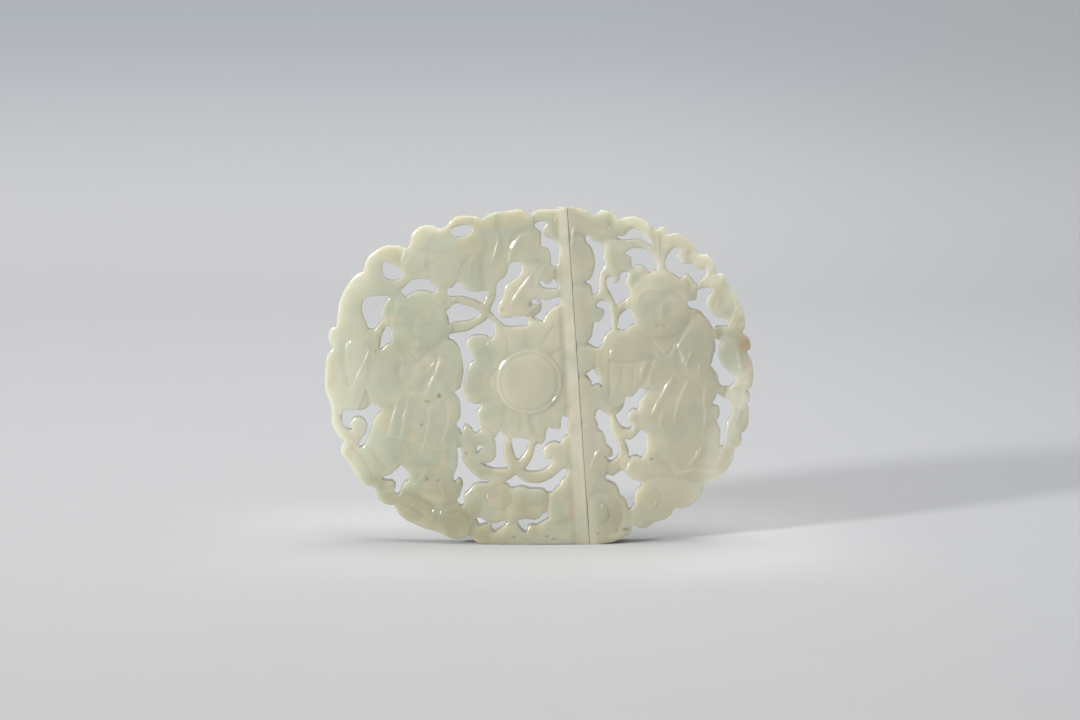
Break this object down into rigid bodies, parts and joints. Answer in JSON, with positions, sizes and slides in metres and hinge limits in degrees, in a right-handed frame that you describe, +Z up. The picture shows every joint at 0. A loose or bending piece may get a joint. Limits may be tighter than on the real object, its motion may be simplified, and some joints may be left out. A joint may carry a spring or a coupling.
{
  "type": "belt buckle",
  "caption": "Openwork carved jade belt buckle in two curved halves, joined by a hook on a tongue, with a button stud behind each half for the belt.",
  "frame": {"origin": "under the middle of the buckle's box, on the surface that it stands on, as it is shown standing on its lower edge", "axes": "+X runs along the buckle's width to the viewer's right, from the left half to the right half, +Y runs from the carved front to the wearer's side with the studs, and +Z is up"},
  "size_m": [0.096, 0.017, 0.0757],
  "materials": {
    "pale_jade": "polished",
    "olive_jade": "polished"
  },
  "bodies": {
    "left_half": {"left_section": "pale_jade"},
    "right_half": {"right_section": "olive_jade"}
  },
  "joints": [
    {"name": "unhook", "type": "slide", "parent": "left_half", "child": "right_half", "axis": [-0.1392, 0.9903, 0], "range_m": [0, 0.014]}
  ]
}
